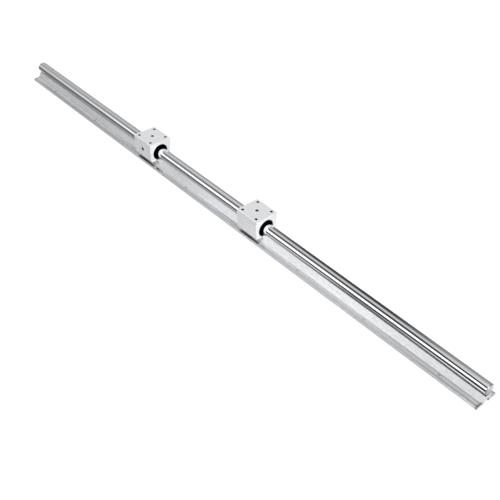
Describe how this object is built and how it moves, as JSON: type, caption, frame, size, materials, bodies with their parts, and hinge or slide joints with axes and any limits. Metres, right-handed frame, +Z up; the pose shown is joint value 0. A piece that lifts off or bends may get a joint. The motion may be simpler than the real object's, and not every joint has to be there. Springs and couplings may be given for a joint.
{
  "type": "supported round rail with linear bearing blocks",
  "caption": "Polished round shaft screwed to a low aluminium support, with two slotted bearing blocks that slide along it.",
  "frame": {"origin": "middle of the rail's underside: half way along it, on its centre line, at the plane that it stands on", "axes": "+X along the rail, from carriage 1 to carriage 2; +Y across it; +Z up, out of the carriages' tops"},
  "size_m": [1.2, 0.048, 0.05],
  "materials": {
    "shaft": "ground and polished, hard chromed",
    "extrusion": "satin extrusion",
    "block": "fine matt, clear anodised",
    "bearing_steel": "ground",
    "cage": "moulded",
    "seal": "matt black"
  },
  "bodies": {
    "rail": {"shaft": "shaft", "support_rail": "extrusion"},
    "carriage_1": {"block_1": "block", "shell_1": "bearing_steel", "cage_1": "cage", "seal_front_1": "seal", "seal_rear_1": "seal"},
    "carriage_2": {"block_2": "block", "shell_2": "bearing_steel", "cage_2": "cage", "seal_front_2": "seal", "seal_rear_2": "seal"}
  },
  "joints": [
    {"name": "carriage_1_slide", "type": "slide", "parent": "rail", "child": "carriage_1", "axis": [1, 0, 0], "range_m": [-0.3775, 0.1245]},
    {"name": "carriage_2_slide", "type": "slide", "parent": "rail", "child": "carriage_2", "axis": [1, 0, 0], "range_m": [-0.1245, 0.472]}
  ]
}
